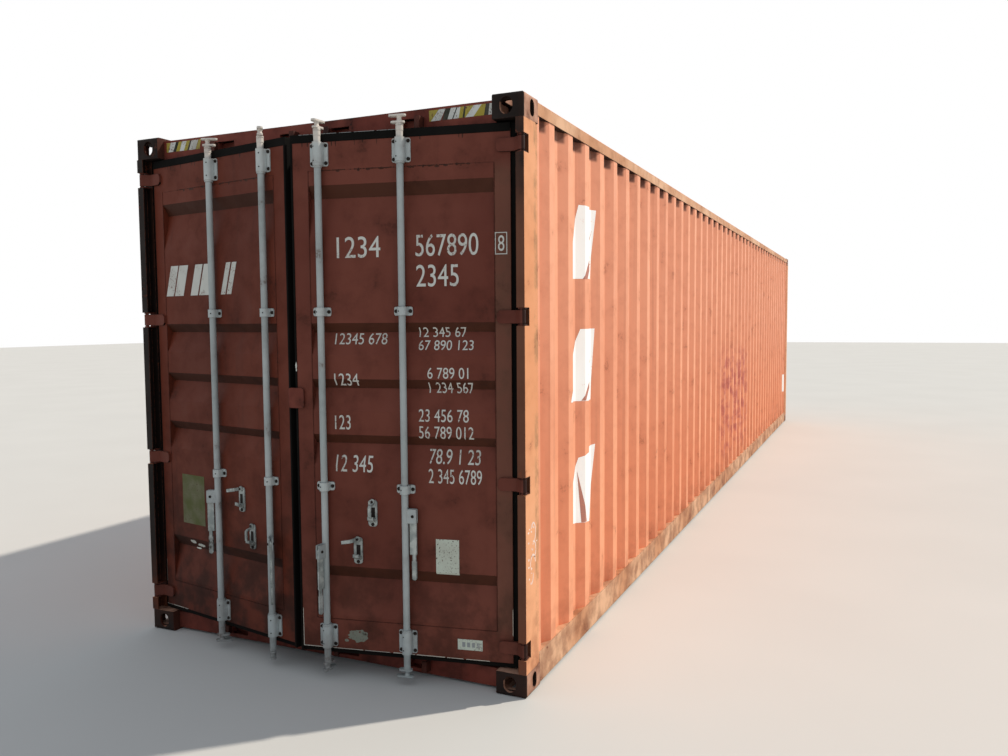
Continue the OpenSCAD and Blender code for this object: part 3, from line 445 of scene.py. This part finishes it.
# Each run of stripes: colour, from and to along the lower edge, and from and to along the upper edge
right_run = (("white", 182, 203, 182, 196), ("black", 203, 226, 196, 216), ("olive", 226, 282, 216, 238),
             ("white", 282, 326, 238, 280), ("olive", 326, 331, 280, 322), ("black", 331, 341, 322, 332),
             ("olive", 341, 362, 332, 352), ("white", 362, 392, 352, 368), ("black", 392, 398, 368, 374),
             ("white", 398, 424, 374, 404), ("black", 424, 452, 404, 434), ("white", 462, 516, 434, 470),
             ("olive", 516, 524, 472, 526))
left_run = (("olive", 184, 196, 184, 214), ("white", 196, 232, 216, 256), ("black", 232, 254, 256, 278),
            ("olive", 254, 282, 278, 300), ("white", 282, 314, 302, 336), ("olive", 314, 338, 336, 362),
            ("black", 338, 352, 362, 372), ("white", 352, 400, 374, 424), ("olive", 402, 430, 426, 444))
for side, (hand, run) in enumerate((("right", right_run), ("left", left_run))):
    for colour, enamel in enamels.items():
        stripes = [[(a, stripe_low), (b, stripe_low), (d, stripe_high), (c, stripe_high)]
                   for name, a, b, c, d in run if name == colour]
        piece(f"{hand}_{colour}_stripes", "container", rear(side), enamel,
              lambda bm: lay(bm, stripes, [], on_face(header_front - film_gap)))


# Door leaves
# Steel frames with a pressed panel welded in. The weld along the top of each panel has begun to rust and
# to stain the paint under it, and bare metal shines along the lowest edge.

# Maroon paint that kept its colour in the shade: matt, a little pink where it has chalked. Darker low down,
# and brown on faces that look down, with painted shade.
leaf_look = dict(mottle=0.28, runs=0.3, spots=0.35, edges=0.45, patches=700)
door_paint = weathered("chalked maroon paint", "#5F2C21", "#6C382C", "#33190F", painted_shades={DOWN: "#482416"},
                       low_dirt_and_shade=(1.0, 0.55), **leaf_look)
dress(door_paint, "right_door_panel")
# The customs plate is thick and has been handled, so it has more rust.
plate_paint = weathered("rust-spotted maroon paint", "#663127", "#71392E", "#33190F", mottle=0.5, runs=0.5,
                        spots=1.0, edges=0.9, patches=60)
dress(plate_paint, "customs_plate")
# The stile at the hinges has a coat of grey dust on it.
# Like the panel, it is darker low down and on faces that look down with painted shade.
dust = ("#6C4B3C", 0.45, 0.65, (-6.4, -1.3, 0.25), (-6.0, -1.045, 2.62), (0.01, 0.012, 0.1))
dusty_paint = weathered("dusty maroon paint", "#5F2C21", "#6C382C", "#33190F", painted_shades={DOWN: "#482416"},
                        stains=(dust,), low_dirt_and_shade=(1.0, 0.55), **leaf_look)
dress(dusty_paint, "right_door_frame")
# The faces of the hinges that look outward and down are nearly black with painted shade.
hinge_paint = weathered("maroon paint with painted shade on the hinges", "#5E2D23", "#67352A", "#2C150D",
                        painted_shades={OUTWARD: "#2A100A", DOWN: "#1E0F0A"}, **leaf_look)
dress(hinge_paint, "right_hinge_blades", "left_hinge_blades", "hinge_pins")
# The left leaf is browner and darker; its painted shade low down is stronger and reaches higher, and faces
# that look down are brown with painted shade.
left_paint = weathered("brown maroon paint", "#592415", "#632B1B", "#24110A", painted_shades={DOWN: "#3C1C10"},
                       low_dirt_and_shade=(1.35, 0.8), **leaf_look)
dress(left_paint, "left_door_frame", "left_door_panel")


def leaf(left):
    """The rear frame for pieces on a door leaf, which stands ajar on its hinge pins."""
    pin = Matrix.Translation((18, 18, 0))
    return rear(left) @ pin @ Matrix.Rotation(math.radians(10.5 if left else 11), 4, "Z") @ pin.inverted()


leaf_face = 52
leaf_low, leaf_high = 150, 2742
panel_low, panel_high, panel_hinge_edge, panel_lock_edge = 306, 2586, 160, 1119
step_depth = 36
# Top, height of the steep face and height of the long slope of each step
steps = ((584, 62, 195), (1263, 46, 115), (1545, 46, 115), (1827, 46, 115), (2513, 62, 195))


def on_leaf(along, z):
    """A point just off the outside of a leaf, down in its steps too."""
    depth = 0.0
    if panel_hinge_edge < along < panel_lock_edge:
        for top, face, run in steps:
            if top - face < z <= top:
                depth = step_depth * (top - z) / face
            elif top - face - run < z <= top - face:
                depth = step_depth * (z - (top - face - run)) / run
    return Vector((leaf_face - film_gap + depth, along, z))


leaf_folds = [(1, z) for top, face, run in steps for z in (top, top - face, top - face - run)]
# Loose flaking rust, dark brown and quite without gloss.
rust = weathered("flaking rust", "#331A11", "#46261A", "#20110B", patches=60, spots=0.8, runs=0,
                 low_dirt_and_shade=(0, 0))
# Bright scraped steel with a haze of new rust.
bare = sprayed("scraped bare steel", "#C9C6BE", shade_maroon, wear=0.5, metallic=0.8, rough=(0.3, 0.5))


def bead(bm, start, end, radius, gap=0.0):
    """A weld bead from start to end: short overlapping lumps, some left out."""
    start, end = Vector(start), Vector(end)
    count = int((end - start).length / (radius * 2.6))
    for i in range(count):
        if dice.random() >= gap:
            size = radius * dice.uniform(0.8, 1.25)
            spot = start.lerp(end, (i + 0.5) / count)
            bmesh.ops.create_icosphere(bm, subdivisions=1, radius=size,
                                       matrix=Matrix.Translation(spot) @ Matrix.Diagonal((0.5, 1.5, 1, 1)))


bloom_gap, scrap_gap = 0.3, 0.5
weld_depth = leaf_face - 0.5
rust_bead, painted_bead = 3, 2.5
for side, hand in enumerate(("right", "left")):
    body, paint = f"{hand}_door", (door_paint, left_paint)[side]
    piece(f"{body}_rusty_weld", body, leaf(side), rust, smooth=True,
          make=lambda bm: bead(bm, (weld_depth, 300, panel_high), (weld_depth, 1060, panel_high), rust_bead,
                               gap=0.3))
    # Rust creeps out from under the weld, and down from the top edge of the leaf.
    blooms = [patch((dice.uniform(260, 1080), panel_high - dice.uniform(0, 8)),
                    (dice.uniform(5, 18), dice.uniform(3, 9))) for _ in range(18)]
    blooms += [patch((dice.uniform(130, 1150), leaf_high - 22), (dice.uniform(2, 5), dice.uniform(8, 26)))
               for _ in range(12)]
    piece(f"{body}_rust_blooms", body, leaf(side), rust,
          lambda bm: lay(bm, blooms, [], on_face(leaf_face - bloom_gap)))
    corners = [(panel_hinge_edge, panel_low, panel_hinge_edge, panel_high),
               (panel_lock_edge, panel_low, panel_lock_edge, panel_high),
               (panel_hinge_edge, panel_low, panel_lock_edge, panel_low)]
    piece(f"{body}_welds", body, leaf(side), paint, smooth=True,
          make=lambda bm: [bead(bm, (weld_depth, a, b), (weld_depth, c, d), painted_bead)
                           for a, b, c, d in corners])
    # Bare metal runs along nearly all of the right leaf's lower edge, and at the left one's hinge corner.
    edge, end = ((200.0, 1165), (70.0, 225))[side]
    scraps = []
    while edge < end:
        long = dice.uniform(60, 190)
        rise = leaf_low + dice.uniform(2.5, 4.5)
        foot = leaf_low + 0.3
        scraps.append([(edge, foot), (edge + long, foot), (edge + long - 3, rise), (edge + 2, rise)])
        edge += long + dice.uniform(0, 16)
    # One strip is rubbed bare beside the gasket at the hinges, and one down the right leaf's lock edge.
    scraps.append([(80.3, 285), (82, 295), (82, 415), (80.3, 425)])
    if hand == "right":
        scraps.append([(1197, 152), (1200.5, 151), (1200.5, 350), (1198, 350)])
    piece(f"{body}_worn_edge", body, leaf(side), bare,
          lambda bm: lay(bm, scraps, [], on_face(leaf_face - scrap_gap)))


# Figures and labels on the leaves
# Plain white figures sprayed through stencils, three split slanted blocks, a speckled sticker, a small
# label, a faded olive sheet, and crusts of pale lichen and old paint.

def figures(text, low, high):
    """Outlines of plain figures that fill the box from low to high on the right leaf."""
    curve = bpy.data.curves.new("figures", "FONT")
    curve.body = text
    thing = bpy.data.objects.new("figures", curve)
    mesh = thing.to_mesh()
    xs, ys = [v.co.x for v in mesh.vertices], [v.co.y for v in mesh.vertices]
    left, foot = min(xs), min(ys)
    wide, tall = (high[0] - low[0]) / (max(xs) - left), (high[1] - low[1]) / (max(ys) - foot)
    shapes = []
    for face in mesh.polygons:
        corners = [mesh.vertices[i].co for i in face.vertices]
        shapes.append([(high[0] - (c.x - left) * wide, low[1] + (c.y - foot) * tall) for c in corners])
    thing.to_mesh_clear()
    return shapes


# The text, its lower right corner and its upper left corner
marks = [("1234", (740, 2150), (972, 2255)), ("567890", (240, 2150), (558, 2255)),
         ("8", (112, 2166), (143, 2240)), ("2345", (340, 2002), (556, 2109)),
         ("12345 678", (720, 1720), (1000, 1776)), ("12 345 67", (310, 1756), (553, 1804)),
         ("67 890 123", (272, 1692), (553, 1740)),
         ("1234", (870, 1511), (1000, 1574)), ("6 789 01", (296, 1552), (505, 1606)),
         ("1 234 567", (276, 1479), (505, 1533)),
         ("123", (915, 1290), (1000, 1363)), ("23 456 78", (296, 1338), (553, 1400)),
         ("56 789 012", (271, 1254), (553, 1316)),
         ("12 345", (800, 1074), (1000, 1158)), ("78.9 1 23", (242, 1128), (505, 1200)),
         ("2 345 6789", (232, 1032), (505, 1104))]
shapes = [shape for text, low, high in marks for shape in figures(text, low, high)]
# The thin frame round the last figure
shapes += [oblong(98, 2150, 158, 2154), oblong(98, 2251, 158, 2255), oblong(98, 2154, 102, 2251),
           oblong(154, 2154, 158, 2251)]
# Thin stencil enamel: even and matt, chipped in flakes.
stencil = sprayed("white stencil enamel", "#C9CBC6", "#683629", wear=0.6, grit=9)
piece("right_door_figures", "right_door", leaf(0), stencil,
      lambda bm: lay(bm, shapes, leaf_folds, on_leaf))
slants = [[(start, 1988), (end, 1988), (end + 52, 2160), (start + 52, 2160)]
          for start, end in ((168, 238), (248, 330), (396, 462), (474, 560), (668, 706), (718, 756))]
piece("left_door_blocks", "left_door", leaf(1), stencil,
      lambda bm: lay(bm, slants, leaf_folds, on_leaf))

# Plastic film that has gone brittle: greenish white, speckled with holes.
film = sprayed("speckled white film", "#BFC8BC", "#4A362F", wear=1.0, grit=9)
film_shapes = [oblong(352, 574, 472, 752), oblong(236, 199, 364, 253)]
piece("right_door_stickers", "right_door", leaf(0), film,
      lambda bm: lay(bm, film_shapes, leaf_folds, on_leaf))
# Print on the small label, bleached to grey blocks with worn edges.
print_grey = sprayed("faded grey print", "#8C9193", "#BFC8BC", wear=1.0, grit=8)
print_gap = 1.1
blots = [oblong(start, 214, start + 16, 238) for start in range(250, 350, 25)]
piece("right_door_label_print", "right_door", leaf(0), print_grey,
      lambda bm: lay(bm, blots, [], on_face(leaf_face - print_gap)))
# A sheet of olive plastic, bleached and stained.
sheet_olive = sprayed("faded olive sheet", "#50552C", "#4A2A1C", wear=0.4)
piece("left_door_sheet", "left_door", leaf(1), sheet_olive,
      lambda bm: lay(bm, [oblong(262, 670, 466, 957)], leaf_folds, on_leaf))
# Grey-green lichen in a ragged crust on old paint.
crust = sprayed("pale lichen and old paint", "#757A6E", "#5A2F24", wear=1.6, grit=14)
lichen = [patch((900, 225), (62, 40)), patch((858, 238), (18, 12)), patch((960, 196), (14, 9))]
piece("right_door_crust", "right_door", leaf(0), crust,
      lambda bm: lay(bm, lichen, [], on_face(leaf_face - scrap_gap)))
# Scraps of white film left by a torn-off sticker, brighter than the rest because they are fresh.
torn = sprayed("torn white film", "#CDD1C9", "#5A2F20", wear=0.4)
scraps = [patch((330, 560), (34, 14)), patch((395, 545), (40, 12)), patch((350, 520), (28, 6))]
piece("left_door_torn_film", "left_door", leaf(1), torn,
      lambda bm: lay(bm, scraps, leaf_folds, on_leaf))


# Gaskets
# Extruded black rubber, clamped round the edge of each leaf under steel strips. The lip on the outside
# presses against the posts, the header and the sill when the leaf is shut.

# Dead matt black, brown with dust low down.
rubber = weathered("weathered black rubber", "#0A0A0A", "#11100F", "#1E1814", mottle=0.0, spots=0.1,
                   runs=0.1, edges=0.2, low_dirt_and_shade=(0.5, 0.4), rough=(0.75, 0.95), gloss=0.08)
dress(rubber, "right_door_gasket", "left_door_gasket")
# Wax that has come out of the rubber along the top: thin, grey-white and chalky.
bloom = sprayed("chalky bloom on rubber", "#8F9698", "#121110", wear=0.8)
gasket_front, gasket_top = 50, 2767
edge, scraps = 640.0, []
while edge < 1100:
    long = dice.uniform(30, 110)
    scraps.append(oblong(edge, gasket_top - 2.4, edge + long, gasket_top - 0.4))
    edge += long + dice.uniform(4, 40)
piece("right_door_gasket_bloom", "right_door", leaf(0), bloom,
      lambda bm: lay(bm, scraps, [], on_face(gasket_front - scrap_gap)))
piece("right_door_gasket_chip", "right_door", leaf(0), torn,
      lambda bm: lay(bm, [patch((1207, 1612), (5, 22)), patch((1206, 1590), (4, 8))], [],
                     on_face(gasket_front - scrap_gap)))


# Locking gear: bars, brackets, handles, catches and hasps
# Forged and rolled steel, zinc coated and once sprayed grey. Brackets and catches are bolted on with bare
# bolts that have rusted dark, and the bars turn in them on riveted bushes.

# Dull bluish grey, with brown rust creeping from the joints, and near white at the top with painted
# sunlight.
gear_look = dict(rust="#5E4538", patches=300, mottle=0.3, runs=0.2, grit=10, rough=(0.45, 0.65),
                 metallic=0.1, levels=(("#D9D2CA", 2.70, 2.745, 0.9),))
zinc = weathered("dull zinc-coated bar steel", "#9EA7A8", "#AEB5B6", spots=0.6, edges=0.3, **gear_look)
dress(zinc, *[n for n in nodes if n.endswith("_bar")])
# The pressed brackets are a little paler and have dark dirt in their corners.
pale_zinc = weathered("dull zinc-coated pressed steel", "#B0B9BA", "#BCC3C3", spots=0.7, edges=0.6,
                      **gear_look)
dress(pale_zinc, *[n for n in nodes if n.endswith("brackets")])
# What hands touch is worn through: dirty along the edges and blotched brown and chalk white.
worn_zinc = weathered("worn zinc-coated forged steel", "#8F9795", "#B9BFBC", spots=1.0, edges=0.95,
                      **(gear_look | dict(rust="#33261F", patches=45, mottle=0.5)))
dress(worn_zinc, *[n for n in nodes if n.endswith(("_handle", "_hasp", "catches"))])
# Nearly black rust with a dull sheen on the hexagons.
bolt_steel = weathered("rusted bare bolt steel", "#1E1815", "#2B2320", "#140C09", patches=40, spots=0.6,
                       runs=0, low_dirt_and_shade=(0, 0), rough=(0.5, 0.8), metallic=0.2)


def rod(bm, foot, axis, radius, length, sides=24, end=None):
    """A rod from foot along axis; with an end radius it tapers."""
    axis = Vector(axis).normalized()
    turn = axis.to_track_quat("Z", "Y").to_matrix().to_4x4()
    bmesh.ops.create_cone(bm, cap_ends=True, segments=sides, radius1=radius,
                          radius2=radius if end is None else end, depth=length,
                          matrix=Matrix.Translation(Vector(foot) + axis * length / 2) @ turn)


def bolt(bm, foot, axis, size=8):
    """A washer with a hexagon head on it, standing on foot along axis."""
    foot, axis = Vector(foot), Vector(axis).normalized()
    rod(bm, foot, axis, size * 1.25, 2)
    rod(bm, foot + axis * 2, axis, size, size * 0.55, sides=6)
    rod(bm, foot + axis * (2 + size * 0.55), axis, size * 0.9, size * 0.12, sides=12, end=size * 0.6)


def rivet(bm, foot, axis, size=5):
    """A low domed head on foot along axis, sunk a little."""
    foot, axis = Vector(foot), Vector(axis).normalized()
    rod(bm, foot - axis * 2, axis, size, 3.2, sides=12)
    rod(bm, foot + axis * 1.2, axis, size, size * 0.3, sides=12, end=size * 0.5)


out = (-1, 0, 0)
plate_front, bar_depth, shell_radius, grease_gap = 46, 27, 24, 0.4
outer_bar, inner_bar = 623, 1055
tall_brackets, tall_height = (162, 2605), 117
guides, guide_height = (976.9, 1862.0), 44
outer_catch, inner_catch = (803, 868), (885, 672)
# Bolts and rivets: beside the bar, from a bracket's ends, and from the middle of a catch
bolt_spread, bolt_inset, rivet_inset = 37, 15, 24
catch_bolt_drop, catch_rivet_rise, rivet_head = 57, 60, 33
shell_lean = math.radians(28)
shell_out = Vector((-math.cos(shell_lean), math.sin(shell_lean), 0))
for side, hand in enumerate(("right", "left")):
    body = f"{hand}_door"

    def bracket_bolts(bm):
        for u in (outer_bar, inner_bar):
            for du in (-bolt_spread, bolt_spread):
                for z in tall_brackets:
                    for rise in (bolt_inset, tall_height - bolt_inset):
                        bolt(bm, (plate_front, u + du, z + rise), out, size=7.5)
                for z in guides:
                    bolt(bm, (plate_front, u + du, z + guide_height / 2), out, size=7.5)

    def bracket_rivets(bm):
        for u in (outer_bar, inner_bar):
            rises = [z + rise for z in tall_brackets for rise in (rivet_inset, tall_height - rivet_inset)]
            rises += [z + guide_height / 2 for z in guides]
            for z in rises:
                rivet(bm, Vector((bar_depth, u, z)) + shell_out * (shell_radius - 0.2), shell_out, size=3.6)

    def catch_bolts(bm):
        for u, z in (outer_catch, inner_catch):
            bolt(bm, (plate_front, u, z - catch_bolt_drop), out, size=7)
            rivet(bm, (rivet_head, u, z + catch_rivet_rise), out, size=6.5)

    piece(f"{body}_bracket_bolts", body, leaf(side), bolt_steel, bracket_bolts)
    piece(f"{body}_bracket_rivets", body, leaf(side), bolt_steel, bracket_rivets)
    piece(f"{body}_catch_bolts", body, leaf(side), bolt_steel, catch_bolts)
    # A near-black sheet over the mouth of each catch is painted shade.
    painted_mouth_shade = [oblong(u - 13, z - 22, u + 9, z + 30) for u, z in (outer_catch, inner_catch)]
    piece(f"{body}_catch_mouth_shade", body, leaf(side), bolt_steel,
          lambda bm: lay(bm, painted_mouth_shade, [], on_face(plate_front - grease_gap)))

ear_outside, hub = 11.5, 42
collar_low, collar_high = 2752, 2780
# How far each bar stands turned from shut, in degrees
turns = {("right", "outer"): 180, ("right", "inner"): 75, ("left", "outer"): 145, ("left", "inner"): 39}
for (hand, which), turn in turns.items():
    name = f"{hand}_{which}"
    side = int(hand == "left")
    u, z = (outer_bar, outer_catch[1]) if which == "outer" else (inner_bar, inner_catch[1])
    place = leaf(side) @ Matrix.Translation((bar_depth, u, 0)) @ Matrix.Rotation(math.radians(turn), 4, "Z")
    piece(f"{name}_pivot_bolt", f"{name}_bar", place, bolt_steel,
          lambda bm: [bolt(bm, (s * ear_outside, hub, z), (s, 0, 0), size=6) for s in (-1, 1)])
    piece(f"{name}_collar", f"{name}_bar", place, zinc,
          lambda bm: [rod(bm, (0, 0, collar_low), (0, 0, 1), 18.3, collar_high - collar_low - 5, sides=32),
                      rod(bm, (0, 0, collar_high - 3), (0, 0, 1), 18.8, 8, sides=32)])


# Floor boards
# Sheets of sealed hardwood plywood, 28 mm thick, laid between the bottom rails and screwed down on the
# cross members.

# Brown wood, scuffed grey in broad tracks by loads.
plywood = weathered("scuffed plywood", "#8A6641", "#A07A50", "#4A3422", patches=500, mottle=0.4,
                    spots=0.2, runs=0, edges=0.3, low_dirt_and_shade=(0, 0))
dress(plywood, "floor_boards")
